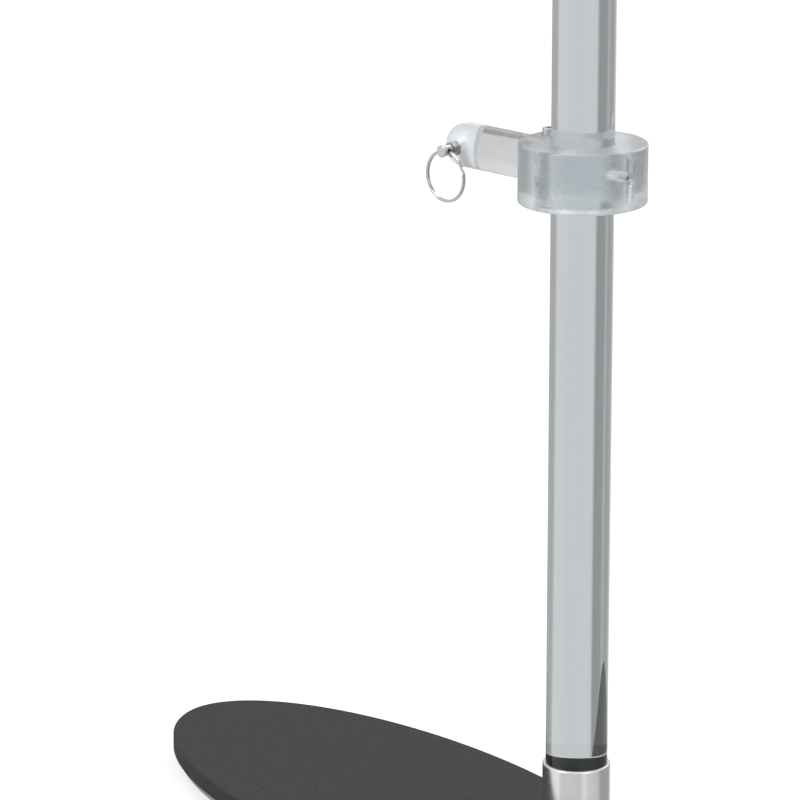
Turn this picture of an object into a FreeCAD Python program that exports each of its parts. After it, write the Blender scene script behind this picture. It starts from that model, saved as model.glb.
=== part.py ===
"""Display stand for a saxophone: oval base, clear post, sliding collar, arm and pull plunger.

Frame: millimetres, +Z up. The origin lies on the floor under the centre of the oval base. The arm
points along -X, and the pull ring hangs on the -Y side of the arm.
"""
import FreeCAD, Part
import math
import os
import sys
import Sketcher
from FreeCAD import Placement, Rotation, Vector

doc = FreeCAD.newDocument("saxophone_stand")
sheet = doc.addObject("Spreadsheet::Sheet", "Sizes")

# ---------------------------------------------------------------- driving dimensions (mm, degrees)
SIZES = {
    # base: light metal plate under a dark foam pad, both of the same oval
    "oval_length": 340.0,
    "oval_width": 146.0,
    "oval_turn": 7.4,
    "plate_thick": 4.5,
    "plate_chamfer": 0.6,
    "pad_thick": 8.5,
    "plate_inset": 2.5,
    "pad_chamfer": 0.8,
    "pad_gap": 0.3,
    "foot_radius": 9.0,
    "foot_height": 3.0,
    # the feet stand in from the oval's ends and flanks
    "foot_end_inset": 82.0,
    "foot_flank_inset": 27.0,
    # post and the socket that holds it, in from the oval's end and off its long axis
    "post_end_inset": 58.3,
    "post_side": 23.2,
    "post_radius": 15.0,
    "post_length": 500.0,
    "post_chamfer": 1.0,
    "socket_wall": 1.5,
    "socket_height": 52.0,
    "socket_floor": 12.5,
    "socket_chamfer": 0.5,
    "glue_gap": 0.05,
    "screw_radius": 2.5,
    "screw_head_radius": 4.8,
    "screw_circle_radius": 9.5,
    "screw_bite": 8.0,
    "screw_key": 3.0,
    "screw_free": 0.25,
    # collar
    "collar_drop": 350.0,
    "collar_radius": 30.6,
    "collar_height": 28.6,
    "collar_chamfer": 0.6,
    "slide_gap": 0.08,
    "collar_web": 2.2,
    # grub screw with a plastic tip, opposite the arm
    "grub_radius": 3.0,
    "grub_length": 5.0,
    "grub_recess": 9.4,
    "grub_key": 3.0,
    "grub_key_depth": 2.2,
    "tip_radius": 2.2,
    "tip_stem_radius": 1.3,
    "tip_stem_length": 1.6,
    "tip_gap": 0.1,
    "thread_gap": 0.05,
    "thread_bevel": 0.4,
    # arm
    "arm_axis_drop": 12.6,
    "arm_radius": 10.9,
    "arm_reach": 85.2,
    "arm_round": 9.5,
    "slot_width": 4.8,
    "slot_depth": 19.6,
    "pin_reach": 73.2,
    "lock_reach": 22.2,
    "lock_radius": 2.0,
    "lock_head_radius": 3.0,
    "lock_head_height": 3.8,
    "lock_depth": 7.0,
    "lock_free": 0.15,
    "lock_key": 2.5,
    "lock_key_depth": 2.0,
    # spring plunger across the slot
    "pin_radius": 1.5,
    "pin_entry": 1.6,
    "pin_end_gap": 0.6,
    "seat_out": 10.4,
    "seat_radius": 4.6,
    "hex_width": 6.8,
    "hex_out": 14.2,
    "hex_chamfer": 0.5,
    "barrel_radius": 3.0,
    "barrel_bore": 2.25,
    "barrel_recess": 0.2,
    "barrel_end_wall": 1.3,
    "nose_thick": 0.8,
    "flange_radius": 2.15,
    "flange_thick": 0.8,
    "tail_radius": 1.1,
    "run_gap": 0.06,
    "spring_wire": 0.4,
    "spring_radius": 1.72,
    "spring_turns": 4.0,
    "spring_end_gap": 0.05,
    # pull head and split ring
    "head_gap": 0.2,
    "stem_radius": 2.6,
    "neck_radius": 2.0,
    "head_radius": 2.95,
    "ring_hole_out": 17.3,
    "ring_hole_radius": 1.55,
    "stem_out": 19.1,
    "head_in": 19.7,
    "head_out": 20.8,
    "tail_bite": 1.1,
    "ring_radius": 12.75,
    "ring_wall": 1.3,
    "ring_coil": 0.85,
    "ring_coil_gap": 0.05,
    "ring_hang": 0.95,
    "ring_joint_angle": 16.0,
    "ring_joint_place": 20.0,
}
for row, (alias, number) in enumerate(SIZES.items(), start=1):
    cell = "B%d" % row
    sheet.set("A%d" % row, alias)
    sheet.set(cell, str(number))
    sheet.setAlias(cell, alias)
doc.recompute()


class Dim:
    """A length that knows both its number and the sheet expression that it comes from."""

    def __init__(self, number, text=None):
        self.number = float(number)
        self.text = repr(float(number)) if text is None else text

    def _join(self, sign, other, number, swap=False):
        other = as_dim(other)
        first, second = (other, self) if swap else (self, other)
        return Dim(number, "(%s %s %s)" % (first.text, sign, second.text))

    def __add__(self, other):
        return self._join("+", other, self.number + as_dim(other).number)

    def __sub__(self, other):
        return self._join("-", other, self.number - as_dim(other).number)

    def __rsub__(self, other):
        return self._join("-", other, as_dim(other).number - self.number, swap=True)

    def __mul__(self, other):
        return self._join("*", other, self.number * as_dim(other).number)

    def __truediv__(self, other):
        return self._join("/", other, self.number / as_dim(other).number)

    def __neg__(self):
        return Dim(-self.number, "(-%s)" % self.text)

    __radd__ = __add__
    __rmul__ = __mul__


def as_dim(value):
    """Turns a plain number into a Dim."""
    return value if isinstance(value, Dim) else Dim(value)


def size(alias):
    """The Dim of one cell of the sheet."""
    return Dim(sheet.get(alias), "Sizes.%s" % alias)


def cosine(angle):
    """Cosine of an angle in degrees, as a Dim."""
    return Dim(math.cos(math.radians(angle.number)), "cos(%s)" % angle.text)


def sine(angle):
    """Sine of an angle in degrees, as a Dim."""
    return Dim(math.sin(math.radians(angle.number)), "sin(%s)" % angle.text)


# ---------------------------------------------------------------- places worked out from the sizes
ZERO = Dim(0)
OVERCUT = Dim(1)
WHOLE_TURN = 360
SIDE_COUNT = 6
QUARTERS = 4
DOME_STEP_COUNT = 5
HEX_COSINE = cosine(Dim(WHOLE_TURN / SIDE_COUNT / 2))
SOCKET_SCREWS = 3
FIRST_SCREW = 90
SAME_PLACE = 1e-6
plate_low = size("foot_height")
plate_top = plate_low + size("plate_thick")
pad_top = plate_top + size("pad_thick")
turn = size("oval_turn")
post_along = size("oval_length") / 2 - size("post_end_inset")
foot_along = size("oval_length") / 2 - size("foot_end_inset")
foot_side = size("oval_width") / 2 - size("foot_flank_inset")


def on_oval(along, side):
    """A place given along and across the oval, in the stand's frame."""
    return along * cosine(turn) + side * sine(turn), side * cosine(turn) - along * sine(turn)


post_x, post_y = on_oval(post_along, size("post_side"))
post_low = plate_top + size("socket_floor")
socket_bore = size("post_radius") + size("glue_gap")
socket_radius = size("post_radius") + size("socket_wall")
collar_top = pad_top + size("collar_drop")
collar_low = collar_top - size("collar_height")
collar_bore = size("post_radius") + size("slide_gap")
arm_z = collar_top - size("arm_axis_drop")
arm_root = collar_bore + size("collar_web")
grub_out = size("collar_radius") - size("grub_recess")
grub_in = grub_out - size("grub_length")
pin_x = post_x - size("pin_reach")
plunger_spot = (pin_x, post_y, arm_z)
slot_half = size("slot_width") / 2
barrel_low = slot_half + size("barrel_recess")
hex_out = size("hex_out")
barrel_wall = hex_out - size("barrel_end_wall")
nose_end = barrel_low + size("nose_thick")
flange_low = nose_end + size("run_gap")
flange_high = flange_low + size("flange_thick")

UPRIGHT = Rotation()
# local Z along -X of the stand, local X along -Y, local Y up
ALONG_ARM = Rotation(Vector(0, -1, 0), Vector(0, 0, 1), Vector(-1, 0, 0), "ZXY")
# local Z along -Y of the stand, local X along +X
TO_RING = Rotation(Vector(1, 0, 0), Vector(0, 0, 1), Vector(0, -1, 0), "ZXY")
# local Z along +X of the stand, local X down
TO_GRUB = Rotation(Vector(0, 0, -1), Vector(0, 1, 0), Vector(1, 0, 0), "ZXY")
# directions inside a body
ALONG_Z = Rotation()
ALONG_X = Rotation(Vector(0, 1, 0), 90)
ALONG_Y = Rotation(Vector(1, 0, 0), -90)
# a hexagon with a corner on local Y
CORNER_UP = Rotation(Vector(0, 0, 1), 90)


def place(thing, spot, turned_by=UPRIGHT, inside="Placement"):
    """Sets a placement's rotation, and binds its three coordinates to the sheet."""
    setattr(thing, inside, Placement(Vector(*[as_dim(value).number for value in spot]), turned_by))
    for letter, value in zip("xyz", spot):
        thing.setExpression("%s.Base.%s" % (inside, letter), as_dim(value).text)


def body(label, spot, turned_by=UPRIGHT):
    """A new PartDesign body that stands at a spot of the stand's frame."""
    made = doc.addObject("PartDesign::Body", label)
    made.Label = label
    place(made, spot, turned_by)
    return made


def sketch(owner, role, name):
    """A sketch on one of the body's own origin planes."""
    made = owner.newObject("Sketcher::SketchObject", name)
    plane = [item for item in owner.Origin.OriginFeatures if item.Role == role][0]
    made.AttachmentSupport = [(plane, "")]
    made.MapMode = "FlatFace"
    return made


def outline(target, corners):
    """A closed run of straight lines through corners, each bound to the sheet."""
    points = [Vector(as_dim(x).number, as_dim(y).number, 0) for x, y in corners]
    count = len(points)
    for index in range(count):
        target.addGeometry(Part.LineSegment(points[index], points[(index + 1) % count]), False)
    for index in range(count):
        target.addConstraint(Sketcher.Constraint("Coincident", index, 2, (index + 1) % count, 1))
    for index, corner in enumerate(corners):
        for kind, axis, value in (("DistanceX", -2, corner[0]), ("DistanceY", -1, corner[1])):
            value = as_dim(value)
            if value.text == ZERO.text:
                target.addConstraint(Sketcher.Constraint("PointOnObject", index, 1, axis))
                continue
            rule = target.addConstraint(Sketcher.Constraint(kind, -1, 1, index, 1, value.number))
            target.setExpression("Constraints[%d]" % rule, value.text)


def turned(label, spot, profile, turned_by=UPRIGHT):
    """A lathe-turned body: a profile of (radius, height) corners spun about the local Z axis."""
    made = body(label, spot, turned_by)
    lines = sketch(made, "XZ_Plane", label + "_profile")
    outline(lines, profile)
    spin = made.newObject("PartDesign::Revolution", label + "_turned")
    spin.Profile = lines
    spin.ReferenceAxis = (lines, ["V_Axis"])
    spin.Angle = WHOLE_TURN
    return made


def primitive(owner, kind, name, spot, turned_by, **lengths):
    """An additive or subtractive PartDesign primitive, its lengths bound to the sheet."""
    made = owner.newObject("PartDesign::" + kind, name)
    for key, value in lengths.items():
        setattr(made, key, as_dim(value).number)
        made.setExpression(key, as_dim(value).text)
    place(made, spot, turned_by)
    return made


def drill(owner, name, radius, length, spot, along=ALONG_Z):
    """A round hole from a spot along one of the body's directions."""
    return primitive(owner, "SubtractiveCylinder", name, spot, along, Radius=radius, Height=length)


def key_socket(owner, name, width, depth, mouth):
    """A hexagon socket that opens at the local height mouth and goes down by depth."""
    made = primitive(
        owner, "SubtractivePrism", name, (ZERO, ZERO, mouth - depth), ALONG_Z,
        Circumradius=width / 2 / HEX_COSINE, Height=depth,
    )
    made.Polygon = SIDE_COUNT
    return made


def bevelled_rod(radius, low, high, bevel_low, bevel_high):
    """Profile of a solid rod with a bevel at each end."""
    return [
        (ZERO, low),
        (radius - bevel_low, low),
        (radius, low + bevel_low),
        (radius, high - bevel_high),
        (radius - bevel_high, high),
        (ZERO, high),
    ]


def bevelled_tube(bore, radius, low, high, bevel):
    """Profile of a tube with a bevel at each of its four rims."""
    return [
        (bore + bevel, low),
        (radius - bevel, low),
        (radius, low + bevel),
        (radius, high - bevel),
        (radius - bevel, high),
        (bore + bevel, high),
        (bore, high - bevel),
        (bore, low + bevel),
    ]


# ---------------------------------------------------------------- base
def oval(target, length, width):
    """An ellipse about the sketch's origin, its long axis along the sketch's X."""
    long_end = Vector(length.number / 2, 0, 0)
    short_end = Vector(0, width.number / 2, 0)
    target.addGeometry(Part.Ellipse(long_end, short_end, Vector(0, 0, 0)), False)
    target.exposeInternalGeometry(0)
    target.addConstraint(Sketcher.Constraint("Coincident", 0, 3, -1, 1))
    target.addConstraint(Sketcher.Constraint("PointOnObject", 1, 1, -1))
    for line, span in ((1, length), (2, width)):
        rule = target.addConstraint(Sketcher.Constraint("Distance", line, span.number))
        target.setExpression("Constraints[%d]" % rule, span.text)


def oval_slab(label, low, thick, length, width):
    """An oval slab, turned with the base; returns the body and its pad feature."""
    made = body(label, (ZERO, ZERO, low), Rotation(Vector(0, 0, -1), turn.number))
    made.setExpression("Placement.Rotation.Angle", turn.text)
    shape = sketch(made, "XY_Plane", label + "_oval")
    oval(shape, length, width)
    slab = made.newObject("PartDesign::Pad", label + "_slab")
    slab.Profile = shape
    slab.Length = thick.number
    slab.setExpression("Length", thick.text)
    doc.recompute()
    return made, slab


def oval_edges(feature, heights):
    """Names of the oval edges that lie at the given local heights."""
    names = []
    for index, edge in enumerate(feature.Shape.Edges, start=1):
        is_oval = isinstance(edge.Curve, Part.Ellipse)
        level = [abs(edge.Vertexes[0].Point.z - height) < SAME_PLACE for height in heights]
        if is_oval and any(level):
            names.append("Edge%d" % index)
    return names


def chamfer(owner, feature, edges, amount):
    """A chamfer on named edges, its size bound to the sheet."""
    made = owner.newObject("PartDesign::Chamfer", owner.Label + "_chamfer")
    made.Base = (feature, edges)
    made.Size = amount.number
    made.setExpression("Size", amount.text)
    doc.recompute()


def screw_places():
    """The three socket screws' places about the post's axis."""
    circle = size("screw_circle_radius")
    for number in range(SOCKET_SCREWS):
        angle = Dim(FIRST_SCREW + WHOLE_TURN / SOCKET_SCREWS * number)
        yield circle * cosine(angle), circle * sine(angle)


def make_base_plate():
    """Metal plate with countersunk holes under the post's socket."""
    thick = size("plate_thick")
    inset = size("plate_inset") * 2
    length = size("oval_length") - inset
    width = size("oval_width") - inset
    made, slab = oval_slab("base_plate", plate_low, thick, length, width)
    edges = oval_edges(slab, (0, thick.number))
    chamfer(made, slab, edges, size("plate_chamfer"))
    free = size("screw_radius") + size("screw_free")
    wide = size("screw_head_radius") + size("screw_free")
    for number, (x, y) in enumerate(screw_places(), start=1):
        # the screw circle keeps the stand's directions, so it is turned back in the plate's frame
        along = post_along + x * cosine(turn) - y * sine(turn)
        side = size("post_side") + x * sine(turn) + y * cosine(turn)
        spot = (along, side, ZERO)
        drill(made, "plate_hole_%d" % number, free, thick, spot)
        primitive(
            made, "SubtractiveCone", "plate_sink_%d" % number, spot, ALONG_Z,
            Radius1=wide, Radius2=free, Height=wide - free,
        )
    return made


def make_base_pad():
    """Foam pad glued to the plate and standing out past it, with a hole round the socket."""
    thick = size("pad_thick")
    made, slab = oval_slab("base_pad", plate_top, thick, size("oval_length"), size("oval_width"))
    chamfer(made, slab, oval_edges(slab, (thick.number,)), size("pad_chamfer"))
    spot = (post_along, size("post_side"), ZERO)
    drill(made, "pad_hole", socket_radius + size("pad_gap"), thick + OVERCUT, spot)
    return made


def make_feet():
    """Four round rubber feet under the plate."""
    radius = size("foot_radius")
    height = size("foot_height")
    profile = [(ZERO, ZERO), (radius, ZERO), (radius, height), (ZERO, height)]
    ends = [(end, flank) for end in (-1, 1) for flank in (-1, 1)]
    feet = []
    for number, (end, flank) in enumerate(ends, start=1):
        x, y = on_oval(foot_along * end, foot_side * flank)
        feet.append(turned("foot_%d" % number, (x, y, ZERO), profile))
    return feet


def make_post_socket():
    """Turned cup that stands on the plate and holds the post."""
    height = size("socket_height")
    bevel = size("socket_chamfer")
    floor = size("socket_floor")
    profile = [
        (ZERO, ZERO),
        (socket_radius, ZERO),
        (socket_radius, height - bevel),
        (socket_radius - bevel, height),
        (socket_bore + bevel, height),
        (socket_bore, height - bevel),
        (socket_bore, floor),
        (ZERO, floor),
    ]
    made = turned("post_socket", (post_x, post_y, plate_top), profile)
    tapped = size("screw_radius") + size("thread_gap")
    for number, (x, y) in enumerate(screw_places(), start=1):
        drill(made, "socket_hole_%d" % number, tapped, size("screw_bite") + OVERCUT, (x, y, ZERO))
    return made


def make_socket_screws():
    """Three countersunk screws, one node."""
    shank = size("screw_radius")
    head = size("screw_head_radius")
    length = size("plate_thick") + size("screw_bite")
    screws = []
    for number, (x, y) in enumerate(screw_places(), start=1):
        profile = [(ZERO, ZERO), (head, ZERO), (shank, head - shank), (shank, length), (ZERO, length)]
        spot = (post_x + x, post_y + y, plate_low)
        screw = turned("socket_screw_%d" % number, spot, profile)
        depth = head - shank
        key_socket(screw, "socket_screw_key_%d" % number, size("screw_key"), depth, depth)
        screws.append(screw)
    group = doc.addObject("Part::Compound", "socket_screws")
    group.Label = "socket_screws"
    group.Links = screws
    return group


# ---------------------------------------------------------------- post and collar
def make_post():
    """Solid clear rod, bevelled at both ends."""
    bevel = size("post_chamfer")
    profile = bevelled_rod(size("post_radius"), ZERO, size("post_length"), bevel, bevel)
    return turned("post", (post_x, post_y, post_low), profile)


def make_collar():
    """Ring that slides on the post, bored from the side for the arm and the grub screw."""
    radius = size("collar_radius")
    height = size("collar_height")
    profile = bevelled_tube(collar_bore, radius, ZERO, height, size("collar_chamfer"))
    made = turned("collar", (post_x, post_y, collar_low), profile)
    level = height - size("arm_axis_drop")
    over = radius + OVERCUT
    arm_hole = size("arm_radius") + size("glue_gap")
    drill(made, "collar_arm_hole", arm_hole, over - arm_root, (-over, ZERO, level), ALONG_X)
    tapped = size("grub_radius") + size("thread_gap")
    drill(made, "collar_grub_hole", tapped, over, (ZERO, ZERO, level), ALONG_X)
    free = size("lock_radius") + size("lock_free")
    depth = size("arm_axis_drop") + OVERCUT
    drill(made, "collar_lock_hole", free, depth, (-size("lock_reach"), ZERO, level))
    return made


def make_clamp_screw():
    """Grub screw with a hexagon socket outwards and a stem hole for its tip inwards."""
    radius = size("grub_radius")
    bevel = size("thread_bevel")
    profile = bevelled_rod(radius, grub_in, grub_out, bevel, bevel)
    made = turned("clamp_screw", (post_x, post_y, arm_z), profile, TO_GRUB)
    key_socket(made, "clamp_screw_key", size("grub_key"), size("grub_key_depth"), grub_out)
    stem = size("tip_stem_radius") + size("glue_gap")
    depth = size("tip_stem_length") + size("glue_gap")
    drill(made, "clamp_screw_stem_hole", stem, depth, (ZERO, ZERO, grub_in))
    return made


def make_clamp_tip():
    """Plastic tip that bears on the post."""
    radius = size("tip_radius")
    stem = size("tip_stem_radius")
    low = size("post_radius") + size("tip_gap")
    high = grub_in + size("tip_stem_length")
    profile = [(ZERO, low), (radius, low), (radius, grub_in), (stem, grub_in), (stem, high), (ZERO, high)]
    return turned("clamp_tip", (post_x, post_y, arm_z), profile, TO_GRUB)


# ---------------------------------------------------------------- arm
def domed_rim(radius, high):
    """Corners of the arm's rounded end: straight runs along a quarter circle."""
    rim = size("arm_round")
    for step in range(DOME_STEP_COUNT + 1):
        angle = Dim(WHOLE_TURN / QUARTERS / DOME_STEP_COUNT * step)
        yield radius - rim + rim * cosine(angle), high - rim + rim * sine(angle)


def make_arm():
    """Clear rod with a slotted end, bored across for the plunger and tapped for its lock screw."""
    radius = size("arm_radius")
    reach = size("arm_reach")
    bevel = size("thread_bevel")
    profile = [
        (ZERO, arm_root),
        (radius - bevel, arm_root),
        (radius, arm_root + bevel),
        *domed_rim(radius, reach),
        (ZERO, reach),
    ]
    made = turned("arm", (post_x, post_y, arm_z), profile, ALONG_ARM)
    outside = radius + OVERCUT
    primitive(
        made, "SubtractiveBox", "arm_slot",
        (-slot_half, -outside, reach - size("slot_depth")), ALONG_Z,
        Length=size("slot_width"), Width=outside * 2, Height=size("slot_depth") + OVERCUT,
    )
    level = size("pin_reach")
    tapped = size("barrel_radius") + size("thread_gap")
    drill(made, "arm_barrel_hole", tapped, outside, (ZERO, ZERO, level), ALONG_X)
    deep = slot_half + size("pin_entry") + size("pin_end_gap")
    drill(made, "arm_pin_hole", size("pin_radius") + size("run_gap"), deep, (-deep, ZERO, level), ALONG_X)
    seat = size("seat_out")
    drill(made, "arm_hex_seat", size("seat_radius"), outside - seat, (seat, ZERO, level), ALONG_X)
    depth = size("lock_depth")
    lock = size("lock_radius") + size("thread_gap")
    spot = (ZERO, radius - depth, size("lock_reach"))
    drill(made, "arm_lock_hole", lock, depth + OVERCUT, spot, ALONG_Y)
    return made


def make_arm_lock_screw():
    """Low-headed cap screw through the collar's top wall into the arm."""
    shank = size("lock_radius")
    head = size("lock_head_radius")
    height = size("lock_head_height")
    bevel = size("thread_bevel")
    low = size("arm_radius") - size("arm_axis_drop") - size("lock_depth") + bevel
    profile = [
        (ZERO, low),
        (shank - bevel, low),
        (shank, low + bevel),
        (shank, ZERO),
        (head, ZERO),
        (head, height - bevel),
        (head - bevel, height),
        (ZERO, height),
    ]
    made = turned("arm_lock_screw", (post_x - size("lock_reach"), post_y, collar_top), profile)
    key_socket(made, "arm_lock_key", size("lock_key"), size("lock_key_depth"), height)
    return made


# ---------------------------------------------------------------- spring plunger
def make_plunger_body():
    """Threaded barrel with a hexagon head, bored for the pin and its spring."""
    barrel = size("barrel_radius")
    seat = size("seat_out")
    across = size("hex_width") / 2
    corner = across / HEX_COSINE
    bevel = size("hex_chamfer")
    mouth_bevel = size("run_gap")
    profile = [
        (ZERO, barrel_low),
        (barrel - mouth_bevel, barrel_low),
        (barrel, barrel_low + mouth_bevel),
        (barrel, seat + bevel),
        (ZERO, seat + bevel),
    ]
    made = turned("plunger_body", plunger_spot, profile, TO_RING)
    hexagon = primitive(
        made, "AdditivePrism", "plunger_hexagon", (ZERO, ZERO, seat), CORNER_UP,
        Circumradius=corner, Height=hex_out - seat,
    )
    hexagon.Polygon = SIDE_COUNT
    doc.recompute()
    corners = sketch(made, "XZ_Plane", "plunger_corner_cut")
    outside = corner + OVERCUT
    outline(corners, [
        (across, hex_out + OVERCUT),
        (across, hex_out),
        (outside, hex_out - (outside - across) * bevel),
        (outside, hex_out + OVERCUT),
    ])
    cut = made.newObject("PartDesign::Groove", "plunger_corners")
    cut.Profile = corners
    cut.ReferenceAxis = (corners, ["V_Axis"])
    cut.Angle = WHOLE_TURN
    drill(made, "plunger_bore", size("barrel_bore"), barrel_wall - barrel_low, (ZERO, ZERO, barrel_low))
    tail = size("tail_radius") + size("run_gap")
    drill(made, "plunger_tail_hole", tail, hex_out, (ZERO, ZERO, barrel_low))
    return made


def make_plunger_nose():
    """Ring pressed into the barrel's mouth, which guides the pin."""
    bore = size("pin_radius") + size("run_gap")
    rim = size("barrel_bore") - size("glue_gap")
    profile = [(bore, barrel_low), (rim, barrel_low), (rim, nose_end), (bore, nose_end)]
    return turned("plunger_nose", plunger_spot, profile, TO_RING)


def make_plunger_pin():
    """Pin across the slot, with the flange that the spring pushes and the tail that is pulled."""
    pin = size("pin_radius")
    bevel = size("thread_bevel")
    tip = -(slot_half + size("pin_entry"))
    tail_end = hex_out + size("head_gap") + size("tail_bite")
    profile = [
        (ZERO, tip),
        (pin - bevel, tip),
        (pin, tip + bevel),
        (pin, flange_low),
        (size("flange_radius"), flange_low),
        (size("flange_radius"), flange_high),
        (size("tail_radius"), flange_high),
        (size("tail_radius"), tail_end),
        (ZERO, tail_end),
    ]
    return turned("plunger_pin", plunger_spot, profile, TO_RING)


def make_plunger_spring():
    """Compression spring of square wire between the pin's flange and the barrel's end wall."""
    wire = size("spring_wire") / 2
    gap = size("spring_end_gap")
    radius = size("spring_radius")
    low = flange_high + gap + wire
    height = barrel_wall - gap - wire - low
    made = body("plunger_spring", plunger_spot, TO_RING)
    section = sketch(made, "XZ_Plane", "plunger_spring_section")
    outline(section, [
        (radius - wire, low - wire),
        (radius + wire, low - wire),
        (radius + wire, low + wire),
        (radius - wire, low + wire),
    ])
    coil = made.newObject("PartDesign::AdditiveHelix", "plunger_spring_coil")
    coil.Profile = section
    coil.ReferenceAxis = (section, ["V_Axis"])
    coil.Mode = "height-turns-angle"
    coil.Height = height.number
    coil.setExpression("Height", height.text)
    coil.Turns = size("spring_turns").number
    coil.setExpression("Turns", size("spring_turns").text)
    return made


def make_pull_head():
    """Stem with a cross hole for the ring, a neck and a disc end."""
    low = hex_out + size("head_gap")
    stem = size("stem_radius")
    neck = size("neck_radius")
    disc = size("head_radius")
    bevel = size("thread_bevel")
    disc_low = size("head_in")
    disc_high = size("head_out")
    profile = [
        (ZERO, low),
        (stem, low),
        (stem, size("stem_out")),
        (neck, size("stem_out") + bevel),
        (neck, disc_low),
        (disc, disc_low),
        (disc, disc_high - bevel),
        (disc - bevel, disc_high),
        (ZERO, disc_high),
    ]
    made = turned("pull_head", plunger_spot, profile, TO_RING)
    tail = size("tail_radius") + size("glue_gap")
    drill(made, "pull_head_tail_hole", tail, size("tail_bite") + size("glue_gap"), (ZERO, ZERO, low))
    outside = stem + OVERCUT
    spot = (-outside, ZERO, size("ring_hole_out"))
    drill(made, "pull_head_ring_hole", size("ring_hole_radius"), outside * 2, spot, ALONG_X)
    return made


def make_split_ring():
    """Two flat coils side by side, joined by a slanting link where each coil ends."""
    outer = sheet.get("ring_radius")
    inner = outer - sheet.get("ring_wall")
    coil = sheet.get("ring_coil")
    step = coil + sheet.get("ring_coil_gap")
    joint = sheet.get("ring_joint_angle")
    first = -(step + coil) / 2
    up = Vector(0, 0, 1)

    def coil_at(level):
        base = Vector(0, 0, level)
        disc = Part.makeCylinder(outer, coil, base, up, WHOLE_TURN - joint)
        band = disc.cut(Part.makeCylinder(inner, coil, base, up))
        return band.rotated(Vector(), up, joint / 2)

    def end_face(angle, level):
        corners = [(inner, level), (outer, level), (outer, level + coil), (inner, level + coil)]
        points = [Vector(radius, 0, height) for radius, height in corners]
        wire = Part.makePolygon(points + points[:1])
        return wire.rotated(Vector(), up, angle)

    link = Part.makeLoft([end_face(-joint / 2, first), end_face(joint / 2, first + step)], True)
    ring = coil_at(first).fuse([link, coil_at(first + step)])
    made = doc.addObject("Part::Feature", "split_ring")
    made.Label = "split_ring"
    made.Shape = ring.rotated(Vector(), up, sheet.get("ring_joint_place"))
    hang = size("ring_hang") + size("ring_radius") - size("ring_wall")
    place(made, (pin_x, post_y - size("ring_hole_out"), arm_z - hang), TO_RING)
    return made


# ---------------------------------------------------------------- the stand
NODES = [
    make_base_plate(),
    make_base_pad(),
    *make_feet(),
    make_post_socket(),
    make_socket_screws(),
    make_post(),
    make_collar(),
    make_clamp_screw(),
    make_clamp_tip(),
    make_arm(),
    make_arm_lock_screw(),
    make_plunger_body(),
    make_plunger_nose(),
    make_plunger_pin(),
    make_plunger_spring(),
    make_pull_head(),
    make_split_ring(),
]
doc.recompute()


def faults():
    """Everything that failed to build, in words."""
    for item in doc.Objects:
        for word in ("Invalid", "Error"):
            if word in item.State:
                yield "%s is %s" % (item.Label, word)
    for node in NODES:
        if node.Shape.isNull() or not node.Shape.isValid():
            yield "%s has no valid shape" % node.Label


found = list(faults())
if found:
    sys.exit("\n".join(found))

os.makedirs("parts", exist_ok=True)
for node in NODES:
    node.Shape.exportStep("parts/%s.step" % node.Label)
    box = node.Shape.BoundBox
    solids = len(node.Shape.Solids)
    print("%-16s %d solid(s) %9.1f mm3" % (node.Label, solids, node.Shape.Volume), end="  ")
    print("x %.2f..%.2f y %.2f..%.2f z %.2f..%.2f" % (
        box.XMin, box.XMax, box.YMin, box.YMax, box.ZMin, box.ZMax))
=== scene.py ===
"""Looks of the saxophone stand: padded oval base, clear post, sliding collar, slotted arm, plunger.

Metres, +Z up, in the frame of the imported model. Places come from the frame's boxes; the sizes of
details that a box can't give are the named values below.
"""

import math

import bmesh
import bpy
from mathutils import Matrix, Vector


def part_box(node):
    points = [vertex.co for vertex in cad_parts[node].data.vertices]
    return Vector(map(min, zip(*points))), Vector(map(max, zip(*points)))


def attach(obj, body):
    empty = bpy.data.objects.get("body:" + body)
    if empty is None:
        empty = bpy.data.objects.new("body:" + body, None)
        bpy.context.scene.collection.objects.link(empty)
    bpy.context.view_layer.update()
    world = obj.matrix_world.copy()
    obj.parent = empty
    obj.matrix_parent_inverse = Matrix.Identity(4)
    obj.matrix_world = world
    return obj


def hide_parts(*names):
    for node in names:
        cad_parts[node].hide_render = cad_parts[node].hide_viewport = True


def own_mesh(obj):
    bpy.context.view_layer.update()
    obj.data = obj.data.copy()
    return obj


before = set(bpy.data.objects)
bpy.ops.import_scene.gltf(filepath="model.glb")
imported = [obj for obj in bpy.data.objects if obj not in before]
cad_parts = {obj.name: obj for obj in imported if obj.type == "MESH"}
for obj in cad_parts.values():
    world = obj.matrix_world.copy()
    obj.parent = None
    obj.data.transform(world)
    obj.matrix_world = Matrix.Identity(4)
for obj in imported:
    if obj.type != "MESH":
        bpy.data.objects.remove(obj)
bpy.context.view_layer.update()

# ---------------------------------------------------------------- sizes of details, in metres
MM = 0.001
WHOLE_TURN = 2 * math.pi
TINY = 1e-7
ROUND_STEPS = 160
SMALL_STEPS = 72
HEX_SIDES = 6
DOME_STEPS = 24

OVAL_LENGTH = 340 * MM
OVAL_WIDTH = 146 * MM
OVAL_TURN = math.radians(-7.4)
OVAL_STEPS = 288
PLATE_EDGE = 0.6 * MM
PLATE_INSET = 2.5 * MM
PAD_EDGE = 0.9 * MM
PAD_FOOT_EDGE = 0.3 * MM
SLAB_RIM = 10 * MM
PAD_HOLE_GAP = 0.3 * MM
FOOT_EDGE = 0.6 * MM

SOCKET_WALL = 1.5 * MM
SOCKET_FLOOR = 12.5 * MM
SOCKET_EDGE = 0.45 * MM
BORE_EDGE = 0.12 * MM
SCREW_CIRCLE = 9.5 * MM
SCREW_COUNT = 3
SCREW_RADIUS = 2.5 * MM
SCREW_HEAD_RADIUS = 4.8 * MM
SCREW_FREE = 0.25 * MM
SCREW_KEY = 3.0 * MM

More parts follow.
